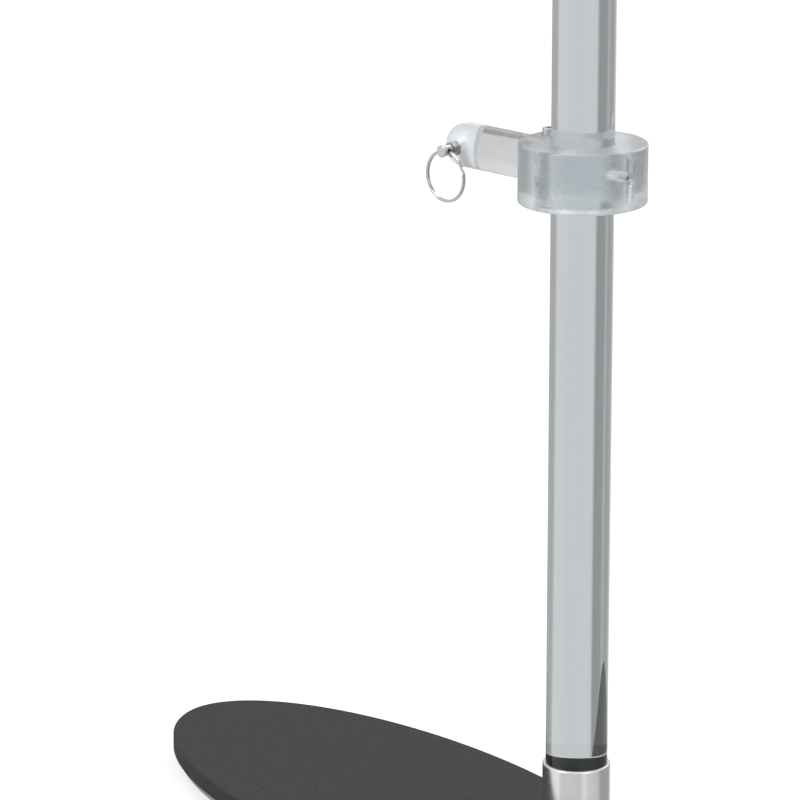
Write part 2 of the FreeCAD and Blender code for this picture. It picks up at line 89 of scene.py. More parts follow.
POST_EDGE = 1.0 * MM
POST_EDGE_SOFT = 0.3 * MM
SLIDE_GAP = 0.08 * MM
FIT_GAP = 0.05 * MM
COLLAR_EDGE = 0.6 * MM

THREAD_DEPTH = 0.28 * MM
COARSE_PITCH = 1.0 * MM
FINE_PITCH = 0.7 * MM
THREAD_BEVEL = 0.4 * MM
THREAD_ROWS = 8
GRUB_KEY = 3.0 * MM
GRUB_KEY_DEPTH = 2.2 * MM
TIP_STEM_RADIUS = 1.3 * MM
TIP_STEM_LENGTH = 1.6 * MM

ARM_ROUND = 9.5 * MM
SLOT_WIDTH = 4.8 * MM
SLOT_DEPTH = 19.6 * MM
LOCK_RADIUS = 2.0 * MM
LOCK_HEAD_RADIUS = 3.0 * MM
LOCK_KEY = 2.5 * MM
LOCK_KEY_DEPTH = 2.0 * MM
LOCK_EDGE = 0.12 * MM

PIN_RADIUS = 1.5 * MM
PIN_END_ROOM = 0.6 * MM
SEAT_OUT = 10.4 * MM
SEAT_RADIUS = 4.6 * MM
HEX_WIDTH = 6.8 * MM
HEX_BEVEL = 0.55
BARREL_RADIUS = 3.0 * MM
BARREL_BORE = 2.25 * MM
END_WALL = 1.3 * MM
FLANGE_RADIUS = 2.15 * MM
FLANGE_THICK = 0.8 * MM
TAIL_RADIUS = 1.1 * MM
RUN_GAP = 0.06 * MM
SPRING_RADIUS = 1.72 * MM
SPRING_WIRE = 0.4 * MM
SPRING_TURNS = 5.0
STEM_RADIUS = 2.6 * MM
NECK_RADIUS = 2.0 * MM
HEAD_RADIUS = 2.95 * MM
STEM_OUT = 19.1 * MM
HEAD_IN = 19.7 * MM
RING_HOLE_RADIUS = 1.55 * MM
RING_WALL = 1.3 * MM
RING_COIL = 0.85 * MM
RING_STEP = 0.9 * MM
RING_STEPS = 360
RING_SECTION = 20
RING_ROUNDNESS = 2 / 2.1
RING_JOINT = math.radians(16)
RING_JOINT_PLACE = math.radians(20)


def middle(node):
    """Middle of a CAD node's box."""
    low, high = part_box(node)
    return (low + high) / 2


# ---------------------------------------------------------------- places from the frame
post_low, post_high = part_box("post")
collar_low, collar_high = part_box("collar")
arm_low, arm_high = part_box("arm")
post_x, post_y = middle("post").xy
post_radius = (post_high.x - post_low.x) / 2
collar_radius = (collar_high.x - collar_low.x) / 2
arm_radius = (arm_high.y - arm_low.y) / 2
arm_z = middle("arm").z
pin_x = middle("plunger_pin").x
arm_root = post_x - arm_high.x
arm_reach = post_x - arm_low.x
plunger_spot = Vector((pin_x, post_y, arm_z))

# local Z along the direction that the piece points in
UPRIGHT = Matrix.Identity(3)
ALONG_ARM = Matrix(((0, 0, -1), (-1, 0, 0), (0, 1, 0)))
TO_RING = Matrix(((1, 0, 0), (0, 0, -1), (0, 1, 0)))
TO_GRUB = Matrix(((0, 0, 1), (0, 1, 0), (-1, 0, 0)))
SIDEWAYS = Matrix(((0, 0, 1), (1, 0, 0), (0, 1, 0)))


# ---------------------------------------------------------------- mesh helpers
def soften(profile, radius, steps=4):
    """Rounds every corner of an open run of (radius, height) points except its two ends."""
    rounded = [profile[0]]
    for before, corner, after in zip(profile, profile[1:], profile[2:]):
        corner = Vector(corner)
        back = Vector(before) - corner
        ahead = Vector(after) - corner
        reach = min(radius, back.length * 0.45, ahead.length * 0.45)
        start = corner + back.normalized() * reach
        end = corner + ahead.normalized() * reach
        for step in range(steps + 1):
            share = step / steps
            rounded.append(tuple(start.lerp(corner, share).lerp(corner.lerp(end, share), share)))
    rounded.append(profile[-1])
    return rounded


def soften_loop(profile, radius):
    """Rounds every corner of a closed loop of (radius, height) points."""
    run = [profile[-1]] + profile + [profile[0]]
    return soften(run, radius)[1:-1]


def piece(name, vertices, faces, finishes, spot=(0, 0, 0), facing=UPRIGHT):
    """A closed mesh object at the origin, its faces pointing outwards."""
    mesh = bpy.data.meshes.new(name)
    mesh.from_pydata(vertices, [], faces)
    shape = bmesh.new()
    shape.from_mesh(mesh)
    bmesh.ops.transform(shape, matrix=Matrix.Translation(spot) @ facing.to_4x4(), verts=shape.verts)
    bmesh.ops.recalc_face_normals(shape, faces=shape.faces)
    shape.to_mesh(mesh)
    shape.free()
    for finish in finishes:
        mesh.materials.append(finish)
    made = bpy.data.objects.new(name, mesh)
    bpy.context.scene.collection.objects.link(made)
    return made


def spun_faces(rows, steps, closed):
    """Faces between neighbouring rings of vertices; a ring of one vertex is a pole."""
    faces = []
    pairs = list(zip(rows, rows[1:]))
    if closed:
        pairs.append((rows[-1], rows[0]))
    for lower, upper in pairs:
        for step in range(steps):
            ahead = (step + 1) % steps
            corners = (
                lower[step % len(lower)], lower[ahead % len(lower)],
                upper[ahead % len(upper)], upper[step % len(upper)],
            )
            faces.append(tuple(dict.fromkeys(corners)))
    return faces


def lathe(name, profile, finishes, spot, facing=UPRIGHT, steps=SMALL_STEPS, thread=None):
    """Spins (radius, height) points about the local Z axis; thread may change a radius as it turns."""
    vertices = []
    rows = []
    for radius, height in profile:
        if radius < TINY:
            rows.append([len(vertices)])
            vertices.append((0, 0, height))
            continue
        rows.append(range(len(vertices), len(vertices) + steps))
        for step in range(steps):
            angle = WHOLE_TURN * step / steps
            reach = radius if thread is None else thread(radius, height, angle)
            vertices.append((reach * math.cos(angle), reach * math.sin(angle), height))
    closed = profile[0][0] > TINY and profile[-1][0] > TINY
    return piece(name, vertices, spun_faces(rows, steps, closed), finishes, spot, facing)


def rod(radius, low, high, bevel_low, bevel_high):
    """Profile of a solid rod, bevelled at both ends."""
    return [
        (0, low), (radius - bevel_low, low), (radius, low + bevel_low),
        (radius, high - bevel_high), (radius - bevel_high, high), (0, high),
    ]


def with_rows(profile, low, high, spacing):
    """Adds evenly spaced points to the outer stretch of a profile between two heights."""
    dense = []
    for point, following in zip(profile, profile[1:] + profile[-1:]):
        dense.append(point)
        upright = abs(point[0] - following[0]) < TINY and point[0] > TINY
        if upright and point[1] <= low + TINY and following[1] >= high - TINY:
            count = int((high - low) / spacing)
            dense += [(point[0], low + (high - low) * row / count) for row in range(1, count)]
    return dense


def thread_between(low, high, radius, pitch):
    """A rule that cuts a V thread into the stretch of a rod between two heights."""

    def reach(here, height, angle):
        if here < radius - TINY or not low < height < high:
            return here
        wave = abs((height / pitch - angle / WHOLE_TURN) % 1 * 2 - 1)
        fade = min((height - low) / pitch, (high - height) / pitch, 1)
        return here - THREAD_DEPTH * wave * fade

    return reach


def threaded_rod(name, profile, radius, low, high, pitch, finishes, spot, facing):
    """A lathe-turned rod with a V thread between two heights."""
    dense = with_rows(profile, low, high, pitch / THREAD_ROWS)
    rule = thread_between(low, high, radius, pitch)
    return lathe(name, dense, finishes, spot, facing, thread=rule)


def block(name, low, high, finishes):
    """A closed box between two corners, used as a cutter."""
    across, along, up = zip(low, high)
    corners = [(x, y, z) for z in up for y in along for x in across]
    faces = [(0, 1, 3, 2), (4, 5, 7, 6), (0, 1, 5, 4), (2, 3, 7, 6), (0, 2, 6, 4), (1, 3, 7, 5)]
    return piece(name, corners, faces, finishes)


def plain(made):
    """Turns an object with modifiers into a plain mesh of the same shape."""
    bpy.context.view_layer.update()
    graph = bpy.context.evaluated_depsgraph_get()
    mesh = bpy.data.meshes.new_from_object(made.evaluated_get(graph))
    made.modifiers.clear()
    made.data = mesh
    return made


def combine(made, tools, operation="DIFFERENCE"):
    """Cuts or joins closed tools into a piece; new faces keep the tool's own finish."""
    for tool in tools:
        change = made.modifiers.new("shape", "BOOLEAN")
        change.operation = operation
        change.solver = "EXACT"
        change.material_mode = "TRANSFER"
        change.object = tool
    plain(made)
    for tool in tools:
        bpy.data.objects.remove(tool)
    return made


def drill(radius, low, high, finishes, spot, facing=UPRIGHT, steps=SMALL_STEPS):
    """A round or, with few steps, a polygonal cutter between two local heights."""
    profile = [(0, low), (radius, low), (radius, high), (0, high)]
    return lathe("drill", profile, finishes, spot, facing, steps)


def key_drill(width, low, high, finishes, spot, facing):
    """A hexagonal cutter of a width across its flats."""
    corner = width / 2 / math.cos(WHOLE_TURN / HEX_SIDES / 2)
    return drill(corner, low, high, finishes, spot, facing, HEX_SIDES)


def break_edges(made, width, above=38):
    """Gives the sharp edges of a piece a small round."""
    change = made.modifiers.new("edges", "BEVEL")
    change.width = width
    change.segments = 2
    change.limit_method = "ANGLE"
    change.angle_limit = math.radians(above)
    change.use_clamp_overlap = True
    return plain(made)


def smooth(made, above=32):
    """Smooth shading that stays flat on flat faces and sharp over real corners."""
    made.data.shade_smooth()
    made.data.set_sharp_from_angle(angle=math.radians(above))
    change = made.modifiers.new("normals", "WEIGHTED_NORMAL")
    change.keep_sharp = True
    return plain(made)


def paint(made, rule):
    """Gives each face the finish whose number the rule returns for its middle and normal."""
    for face in made.data.polygons:
        face.material_index = rule(face.center, face.normal)


def seat(made, body, slot, *nodes):
    """Hands a finished piece to its body, in place of its CAD nodes."""
    smooth(made)
    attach(made, body)
    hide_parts(*nodes)
    return made


# ---------------------------------------------------------------- shader groups
def group(name, inputs, outputs):
    """A shader group with named inputs and outputs; returns it with its two end nodes."""
    made = bpy.data.node_groups.new(name, "ShaderNodeTree")
    for label, kind, value in inputs:
        socket = made.interface.new_socket(name=label, in_out="INPUT", socket_type=kind)
        if value is not None:
            socket.default_value = value
    for label, kind in outputs:
        made.interface.new_socket(name=label, in_out="OUTPUT", socket_type=kind)
    return made, made.nodes.new("NodeGroupInput"), made.nodes.new("NodeGroupOutput")


def spread(nodes, links, value, low, high, source_low=0.3, source_high=0.7):
    """Maps a noise value onto a range, and returns the output socket."""
    ranged = nodes.new("ShaderNodeMapRange")
    ranged.inputs["From Min"].default_value = source_low
    ranged.inputs["From Max"].default_value = source_high
    links.new(value, ranged.inputs["Value"])
    for end, label in ((low, "To Min"), (high, "To Max")):
        if isinstance(end, (int, float)):
            ranged.inputs[label].default_value = end
        else:
            links.new(end, ranged.inputs[label])
    return ranged.outputs["Result"]


def make_marks_group():
    """Fine tool marks: noise stretched along the directions in which the tool ran."""
    inputs = (
        ("Vector", "NodeSocketVector", None),
        ("Stretch", "NodeSocketVector", (1, 1, 1)),
        ("Low", "NodeSocketFloat", 0.2),
        ("High", "NodeSocketFloat", 0.4),
    )
    outputs = (("Height", "NodeSocketFloat"), ("Roughness", "NodeSocketFloat"))
    made, start, end = group("tool_marks", inputs, outputs)
    scaled = made.nodes.new("ShaderNodeVectorMath")
    scaled.operation = "MULTIPLY"
    made.links.new(start.outputs["Vector"], scaled.inputs[0])
    made.links.new(start.outputs["Stretch"], scaled.inputs[1])
    noise = made.nodes.new("ShaderNodeTexNoise")
    noise.inputs["Scale"].default_value = 1
    noise.inputs["Detail"].default_value = 3
    made.links.new(scaled.outputs["Vector"], noise.inputs["Vector"])
    made.links.new(noise.outputs["Fac"], end.inputs["Height"])
    low, high = start.outputs["Low"], start.outputs["High"]
    result = spread(made.nodes, made.links, noise.outputs["Fac"], low, high)
    made.links.new(result, end.inputs["Roughness"])
    return made


def make_handling_group():
    """Soft patches of handling: a roughness that drifts over the surface."""
    inputs = (
        ("Vector", "NodeSocketVector", None),
        ("Scale", "NodeSocketFloat", 30.0),
        ("Low", "NodeSocketFloat", 0.0),
        ("High", "NodeSocketFloat", 0.05),
    )
    outputs = (("Roughness", "NodeSocketFloat"), ("Mask", "NodeSocketFloat"))
    made, start, end = group("handling", inputs, outputs)
    noise = made.nodes.new("ShaderNodeTexNoise")
    noise.inputs["Detail"].default_value = 4
    noise.inputs["Distortion"].default_value = 0.6
    made.links.new(start.outputs["Vector"], noise.inputs["Vector"])
    made.links.new(start.outputs["Scale"], noise.inputs["Scale"])
    low, high = start.outputs["Low"], start.outputs["High"]
    result = spread(made.nodes, made.links, noise.outputs["Fac"], low, high)
    made.links.new(result, end.inputs["Roughness"])
    made.links.new(noise.outputs["Fac"], end.inputs["Mask"])
    return made


def make_grain_group():
    """Grain of moulded foam or rubber: small pits between fine bumps."""
    inputs = (("Vector", "NodeSocketVector", None), ("Scale", "NodeSocketFloat", 1500.0))
    outputs = (("Height", "NodeSocketFloat"), ("Pits", "NodeSocketFloat"))
    made, start, end = group("grain", inputs, outputs)
    noise = made.nodes.new("ShaderNodeTexNoise")
    noise.inputs["Detail"].default_value = 5
    cells = made.nodes.new("ShaderNodeTexVoronoi")
    for texture in (noise, cells):
        made.links.new(start.outputs["Vector"], texture.inputs["Vector"])
        made.links.new(start.outputs["Scale"], texture.inputs["Scale"])
    both = made.nodes.new("ShaderNodeMath")
    both.operation = "ADD"
    made.links.new(noise.outputs["Fac"], both.inputs[0])
    made.links.new(cells.outputs["Distance"], both.inputs[1])
    made.links.new(both.outputs["Value"], end.inputs["Height"])
    pits = spread(made.nodes, made.links, cells.outputs["Distance"], 1.0, 0.0, 0.05, 0.35)
    made.links.new(pits, end.inputs["Pits"])
    return made


MARKS = make_marks_group()
HANDLING = make_handling_group()
GRAIN = make_grain_group()


# ---------------------------------------------------------------- finishes
class Finish:
    """A material with its Principled shader and a short way to place and join nodes."""

    def __init__(self, name, color, roughness, metallic=0.0):
        self.material = bpy.data.materials.new(name)
        self.material.use_nodes = True
        self.nodes = self.material.node_tree.nodes
        self.links = self.material.node_tree.links
        self.shader = self.nodes["Principled BSDF"]
        self.set("Base Color", (*color, 1))
        self.set("Roughness", roughness)
        self.set("Metallic", metallic)
        self.place = self.nodes.new("ShaderNodeTexCoord").outputs["Object"]

    def set(self, label, value):
        """Sets one of the shader's own sockets."""
        self.shader.inputs[label].default_value = value

    def join(self, output, label):
        """Feeds one of the shader's sockets."""
        self.links.new(output, self.shader.inputs[label])

    def use(self, tree, **values):
        """Places a shader group on the piece's own coordinates, with its values."""
        made = self.nodes.new("ShaderNodeGroup")
        made.node_tree = tree
        self.links.new(self.place, made.inputs["Vector"])
        for label, value in values.items():
            made.inputs[label].default_value = value
        return made

    def noise(self, scale, detail=3.0):
        """A plain noise on the piece's own coordinates."""
        made = self.nodes.new("ShaderNodeTexNoise")
        made.inputs["Scale"].default_value = scale
        made.inputs["Detail"].default_value = detail
        self.links.new(self.place, made.inputs["Vector"])
        return made.outputs["Fac"]

    def blend(self, mask, first, second, label="Base Color"):
        """Mixes two colours by a mask into one of the shader's sockets."""
        made = self.nodes.new("ShaderNodeMix")
        made.data_type = "RGBA"
        self.links.new(mask, made.inputs["Factor"])
        made.inputs["A"].default_value = (*first, 1)
        made.inputs["B"].default_value = (*second, 1)
        self.join(made.outputs["Result"], label)

    def bump(self, height, strength, distance):
        """Fine relief from a height."""
        made = self.nodes.new("ShaderNodeBump")
        made.inputs["Strength"].default_value = strength
        made.inputs["Distance"].default_value = distance
        self.links.new(height, made.inputs["Height"])
        self.join(made.outputs["Normal"], "Normal")


def foam(name, light, dark, scale, depth):
    """Closed-cell foam: matte, with fine pits darker than the skin."""
    made = Finish(name, light, 0.95)
    grain = made.use(GRAIN, Scale=scale)
    made.blend(grain.outputs["Pits"], light, dark)
    made.bump(grain.outputs["Height"], 0.55, depth)
    made.set("Specular IOR Level", 0.22)
    made.set("Sheen Weight", 0.06)
    made.set("Sheen Roughness", 0.6)
    return made.material


def rubber():
    """Black rubber of the feet."""
    made = Finish("foot_rubber", (0.03, 0.03, 0.032), 0.7)
    grain = made.use(GRAIN, Scale=2200.0)
    made.bump(grain.outputs["Height"], 0.3, 0.05 * MM)
    made.set("Specular IOR Level", 0.35)
    return made.material


def metal(name, color, stretch, low, high, relief=0.05, dull=None):
    """Bare metal with tool marks, and a slightly duller tone where they gather."""
    made = Finish(name, color, high, 1.0)
    marks = made.use(MARKS, Stretch=stretch, Low=low, High=high)
    made.join(marks.outputs["Roughness"], "Roughness")
    made.bump(marks.outputs["Height"], relief, 0.02 * MM)
    tone = made.use(HANDLING, Scale=90.0)
    made.blend(tone.outputs["Mask"], color, dull or [part * 0.86 for part in color])
    return made.material


def acrylic(name, tint, low, high, scale=25.0, relief=0.0, grain=900.0, clear=1.0):
    """Clear plastic; its roughness drifts between polish and light handling marks."""
    made = Finish(name, tint, low)
    made.set("IOR", 1.49)
    made.set("Transmission Weight", clear)
    made.set("Metallic", 0.0)
    wear = made.use(HANDLING, Scale=scale, Low=low, High=high)
    made.join(wear.outputs["Roughness"], "Roughness")
    if relief:
        made.bump(made.noise(grain, 4.0), relief, 0.03 * MM)
    return made.material


def bore_shade_finish():
    """Painted shade in the socket's bore: a near-black colour on its wall and floor, with a faint
    random tone.
    """
    made = Finish("bore_painted_shade", (0.028, 0.031, 0.03), 0.5)
    made.blend(made.noise(160.0), (0.022, 0.025, 0.024), (0.05, 0.054, 0.052))
    return made.material


def nylon():
    """White plastic of the clamp's tip."""
    made = Finish("tip_plastic", (0.78, 0.78, 0.75), 0.5)
    wear = made.use(HANDLING, Scale=300.0, Low=0.42, High=0.6)
    made.join(wear.outputs["Roughness"], "Roughness")
    made.set("Subsurface Weight", 0.15)
    made.set("Subsurface Scale", 1 * MM)
    return made.material


ACRYLIC_TINT = (0.90, 0.935, 0.945)
PAD_SKIN = foam("pad_foam", (0.044, 0.046, 0.042), (0.009, 0.010, 0.009), 560.0, 0.26 * MM)
# the pad's side and underside: a real coarser cut-cell grain, and a colour darker than the top that is
# painted shade
PAD_CUT_AND_SHADE = foam("pad_cut_edge_and_shade", (0.034, 0.034, 0.036), (0.012, 0.012, 0.013), 560.0, 0.4 * MM)
FOOT_RUBBER = rubber()
PLATE_METAL = metal("plate_metal", (0.74, 0.75, 0.76), (40, 900, 900), 0.28, 0.44)
SOCKET_METAL = metal("socket_metal", (0.91, 0.915, 0.92), (20, 20, 9000), 0.17, 0.22, 0.008)
# painted shade: the socket bore's inner wall and floor are coloured near-black
SOCKET_BORE_SHADE = bore_shade_finish()
SCREW_STEEL = metal("screw_steel", (0.74, 0.74, 0.73), (700, 700, 700), 0.22, 0.38)
# painted shade: the insides of the hex key sockets are coloured dark
KEY_SOCKET_SHADE = metal("key_socket_painted_shade", (0.24, 0.24, 0.24), (900, 900, 900), 0.35, 0.5)
PLUNGER_STEEL = metal("plunger_steel", (0.70, 0.70, 0.69), (60, 3800, 60), 0.18, 0.34)
HEX_STEEL = metal("hexagon_steel", (0.44, 0.44, 0.44), (200, 1500, 1500), 0.22, 0.38)
SPRING_STEEL = metal("spring_steel", (0.6, 0.6, 0.6), (800, 800, 800), 0.15, 0.3)
RING_NICKEL = metal("ring_nickel", (0.64, 0.63, 0.61), (900, 900, 900), 0.05, 0.12, 0.01)
POST_CLEAR = acrylic("post_acrylic", ACRYLIC_TINT, 0.0, 0.015)
COLLAR_SIDE = acrylic("collar_acrylic", (0.84, 0.89, 0.91), 0.16, 0.23)
# the collar's top face: real satin roughness, with a greyer tint that is painted shade toning down the
# lamp light on it
COLLAR_SATIN_AND_SHADE = acrylic("collar_satin_face_shaded", (0.80, 0.82, 0.84), 0.30, 0.42, 60.0, 0.10)
COLLAR_BORED = acrylic("bored_acrylic", ACRYLIC_TINT, 0.24, 0.32, 200.0, 0.03)
ARM_CLEAR = acrylic("arm_acrylic", (0.95, 0.965, 0.97), 0.0, 0.02)
ARM_MILLED = acrylic("milled_acrylic", (0.95, 0.96, 0.97), 0.40, 0.55, 120.0, 0.2, 1600.0, 0.08)
TIP_PLASTIC = nylon()


# ---------------------------------------------------------------- geometry node trees
def node_tree(name, inputs):
    """A geometry tree with named inputs; returns it, its input node and its output node."""
    made = bpy.data.node_groups.new(name, "GeometryNodeTree")
    for label, kind in inputs:
        made.interface.new_socket(name=label, in_out="INPUT", socket_type=kind)
    made.interface.new_socket(name="Geometry", in_out="OUTPUT", socket_type="NodeSocketGeometry")
    return made, made.nodes.new("NodeGroupInput"), made.nodes.new("NodeGroupOutput")


def close_tree(made, start, end, geometry):
    """Ends a tree in Realize Instances and Set Material."""
    real = made.nodes.new("GeometryNodeRealizeInstances")
    coat = made.nodes.new("GeometryNodeSetMaterial")
    made.links.new(geometry, real.inputs["Geometry"])
    made.links.new(real.outputs["Geometry"], coat.inputs["Geometry"])
    made.links.new(start.outputs["Finish"], coat.inputs["Material"])
    made.links.new(coat.outputs["Geometry"], end.inputs["Geometry"])
    return made


def instances(made, start, points):
    """Places the tree's Part on points."""
    info = made.nodes.new("GeometryNodeObjectInfo")
    spots = made.nodes.new("GeometryNodeInstanceOnPoints")
    made.links.new(start.outputs["Part"], info.inputs["Object"])
    made.links.new(points, spots.inputs["Points"])
    made.links.new(info.outputs["Geometry"], spots.inputs["Instance"])
    return spots.outputs["Instances"]


def circle_tree():
    """Copies of a part, evenly spaced round a circle."""
    inputs = (
        ("Part", "NodeSocketObject"), ("Count", "NodeSocketInt"),
        ("Radius", "NodeSocketFloat"), ("Finish", "NodeSocketMaterial"),
    )
    made, start, end = node_tree("parts_round_circle", inputs)
    circle = made.nodes.new("GeometryNodeMeshCircle")
    made.links.new(start.outputs["Count"], circle.inputs["Vertices"])
    made.links.new(start.outputs["Radius"], circle.inputs["Radius"])
    return close_tree(made, start, end, instances(made, start, circle.outputs["Mesh"]))


def corners_tree():
    """Copies of a part on the four corners of a rectangle."""
    inputs = (
        ("Part", "NodeSocketObject"), ("Length", "NodeSocketFloat"),
        ("Width", "NodeSocketFloat"), ("Finish", "NodeSocketMaterial"),
    )
    made, start, end = node_tree("parts_at_corners", inputs)
    grid = made.nodes.new("GeometryNodeMeshGrid")
    grid.inputs["Vertices X"].default_value = 2
    grid.inputs["Vertices Y"].default_value = 2
    made.links.new(start.outputs["Length"], grid.inputs["Size X"])
    made.links.new(start.outputs["Width"], grid.inputs["Size Y"])
    return close_tree(made, start, end, instances(made, start, grid.outputs["Mesh"]))


def coil_tree():
    """A round wire wound into a coil of a radius, a length and a number of turns."""
    inputs = (
        ("Turns", "NodeSocketFloat"), ("Radius", "NodeSocketFloat"), ("Length", "NodeSocketFloat"),
        ("Wire", "NodeSocketFloat"), ("Finish", "NodeSocketMaterial"),
    )
    made, start, end = node_tree("wound_coil", inputs)
    spiral = made.nodes.new("GeometryNodeCurveSpiral")
    spiral.inputs["Resolution"].default_value = 48
    made.links.new(start.outputs["Turns"], spiral.inputs["Rotations"])
    made.links.new(start.outputs["Radius"], spiral.inputs["Start Radius"])
    made.links.new(start.outputs["Radius"], spiral.inputs["End Radius"])
    made.links.new(start.outputs["Length"], spiral.inputs["Height"])
    section = made.nodes.new("GeometryNodeCurvePrimitiveCircle")
    section.inputs["Resolution"].default_value = 12
    made.links.new(start.outputs["Wire"], section.inputs["Radius"])
    solid = made.nodes.new("GeometryNodeCurveToMesh")
    solid.inputs["Fill Caps"].default_value = True
    made.links.new(spiral.outputs["Curve"], solid.inputs["Curve"])
    made.links.new(section.outputs["Curve"], solid.inputs["Profile Curve"])
    return close_tree(made, start, end, solid.outputs["Mesh"])


def grown(name, tree, values, spot, facing=UPRIGHT):
    """A plain mesh made by a tree with the given inputs, set in its place."""
    made = bpy.data.objects.new(name, bpy.data.meshes.new(name))
    bpy.context.scene.collection.objects.link(made)
    change = made.modifiers.new("grow", "NODES")
    change.node_group = tree
    for socket in tree.interface.items_tree:
        if socket.in_out == "INPUT":
            change[socket.identifier] = values[socket.name]
    plain(made)
    made.data.transform(Matrix.Translation(spot) @ facing.to_4x4())
    return made


# ---------------------------------------------------------------- base
def oval_slab(name, profile, finishes):
    """A slab with an oval outline; the profile gives (outset, height) from its foot to its top."""
    half_long = OVAL_LENGTH / 2
    half_wide = OVAL_WIDTH / 2
    vertices = []
    for outset, height in profile:
        for step in range(OVAL_STEPS):
            angle = WHOLE_TURN * step / OVAL_STEPS
            outward = Vector((math.cos(angle) * half_wide, math.sin(angle) * half_long)).normalized()
            x = half_long * math.cos(angle) + outward.x * outset
            y = half_wide * math.sin(angle) + outward.y * outset
            vertices.append((x, y, height))
    rows = [range(row * OVAL_STEPS, (row + 1) * OVAL_STEPS) for row in range(len(profile))]
    faces = spun_faces(rows, OVAL_STEPS, False) + [tuple(rows[0]), tuple(rows[-1])]
    return piece(name, vertices, faces, finishes, facing=Matrix.Rotation(OVAL_TURN, 3, "Z"))


def slab_profile(low, high, outset, bevel_low, bevel_high):
    """(outset, height) points of a slab's edge, softened."""
    inner = outset - SLAB_RIM
    run = [
        (inner, low), (outset - bevel_low, low), (outset, low + bevel_low),
        (outset, high - bevel_high), (outset - bevel_high, high), (inner, high),
    ]
    return soften(run, min(bevel_low, bevel_high) * 0.5)[1:-1]


def screw_spots():
    """Places of the socket's screws about the post's axis."""
    for number in range(SCREW_COUNT):
        angle = WHOLE_TURN * (number / SCREW_COUNT + 0.25)
        across, along = SCREW_CIRCLE * math.cos(angle), SCREW_CIRCLE * math.sin(angle)
        yield Vector((post_x + across, post_y + along, 0))


def make_plate():
    low, high = (corner.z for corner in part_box("base_plate"))
    profile = slab_profile(low, high, -PLATE_INSET, PLATE_EDGE, PLATE_EDGE)
    made = oval_slab("base_plate_metal", profile, [PLATE_METAL])
    wide = SCREW_HEAD_RADIUS + SCREW_FREE
    free = SCREW_RADIUS + SCREW_FREE
    sink = [
        (0, low - MM), (wide, low - MM), (wide, low), (free, low + wide - free),
        (free, high + MM), (0, high + MM),
    ]
    tools = [lathe("sink", sink, [PLATE_METAL], spot) for spot in screw_spots()]
    combine(made, tools)
    seat(made, "stand", "plate_metal", "base_plate")


def make_pad():
    low, high = (corner.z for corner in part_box("base_pad"))
    profile = slab_profile(low, high, 0, PAD_FOOT_EDGE, PAD_EDGE)
    made = oval_slab("base_pad_foam", profile, [PAD_SKIN, PAD_CUT_AND_SHADE])
    radius = post_radius + FIT_GAP + SOCKET_WALL + PAD_HOLE_GAP
    spot = (post_x, post_y, 0)
    hole = drill(radius, low - MM, high + MM, [PAD_CUT_AND_SHADE], spot, steps=ROUND_STEPS)
    combine(made, [hole])
    # faces that don't point up take the darker cut finish, which is partly painted shade
    paint(made, lambda centre, normal: 0 if normal.z > 0.5 else 1)
    seat(made, "stand", "pad_foam", "base_pad")


def make_feet():
    low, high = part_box("foot_1")
    radius = (high.x - low.x) / 2
    profile = soften(rod(radius, low.z, high.z, FOOT_EDGE, TINY * 10), FOOT_EDGE / 2)
    foot = lathe("foot", profile, [FOOT_RUBBER], (0, 0, 0))
    turn = Matrix.Rotation(-OVAL_TURN, 3, "Z")
    along = turn @ (middle("foot_4") - middle("foot_1"))
    values = {"Part": foot, "Length": abs(along.x), "Width": abs(along.y), "Finish": FOOT_RUBBER}
    back = Matrix.Rotation(OVAL_TURN, 3, "Z")
    made = grown("rubber_feet", corners_tree(), values, (0, 0, 0), back)
    bpy.data.objects.remove(foot)
    seat(made, "stand", "foot_rubber", "foot_1", "foot_2", "foot_3", "foot_4")


def make_socket():
    low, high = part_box("post_socket")
    radius = (high.x - low.x) / 2
    bore = radius - SOCKET_WALL
    top = high.z
    profile = [
        (0, low.z), (radius - SOCKET_EDGE, low.z), (radius, low.z + SOCKET_EDGE),
        (radius, top - SOCKET_EDGE), (radius - SOCKET_EDGE, top),
        (bore + BORE_EDGE, top), (bore, top - BORE_EDGE),
        (bore, low.z + SOCKET_FLOOR), (0, low.z + SOCKET_FLOOR),
    ]
    profile = soften(profile, SOCKET_EDGE * 0.45)
    finishes = [SOCKET_METAL, SOCKET_BORE_SHADE]
    made = lathe("post_socket_cup", profile, finishes, (post_x, post_y, 0), steps=ROUND_STEPS)
    axis = Vector((post_x, post_y))

    # the bore's inner wall and floor take the near-black painted shade
    def inside(centre, normal):
        wall = (centre.xy - axis).dot(normal.xy) < -TINY and centre.z < top - BORE_EDGE
        floor = normal.z > 0.9 and centre.z < top - MM
        return 1 if wall or floor else 0

    paint(made, inside)
    seat(made, "stand", "socket_metal", "post_socket")


